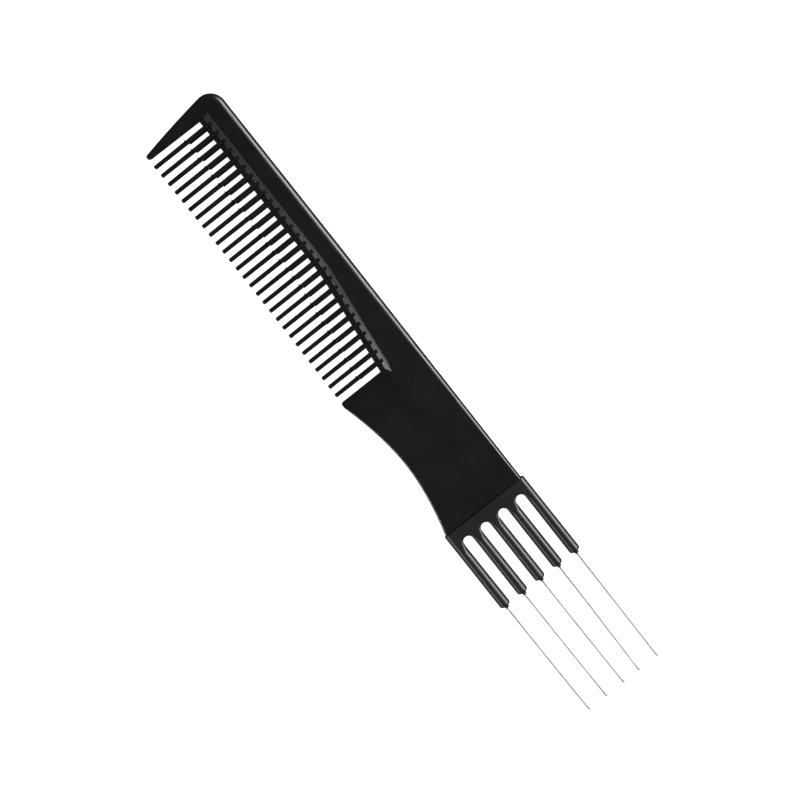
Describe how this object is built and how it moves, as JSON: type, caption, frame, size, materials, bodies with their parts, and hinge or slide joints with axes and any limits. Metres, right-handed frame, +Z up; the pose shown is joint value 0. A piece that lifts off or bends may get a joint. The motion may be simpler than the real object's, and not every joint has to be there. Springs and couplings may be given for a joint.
{
  "type": "lift comb",
  "caption": "Black teasing comb with three rows of teeth, a waisted handle and a tubed fork of slim steel prongs for lifting hair.",
  "frame": {"origin": "middle of the comb's outline, on the plane it lies on", "axes": "+X along the comb from the head edge to the prong tips, +Y towards the back edge, away from the teeth, +Z up through the thickness"},
  "size_m": [0.2, 0.028, 0.0032],
  "materials": {
    "comb_plastic": "satin moulded black",
    "block_plastic": "satin moulded black",
    "prong_steel": "polished stainless steel"
  },
  "bodies": {
    "root": {"comb_body": "comb_plastic", "prong_block": "block_plastic", "prong_1": "prong_steel", "prong_2": "prong_steel", "prong_3": "prong_steel", "prong_4": "prong_steel", "prong_5": "prong_steel"}
  },
  "joints": []
}
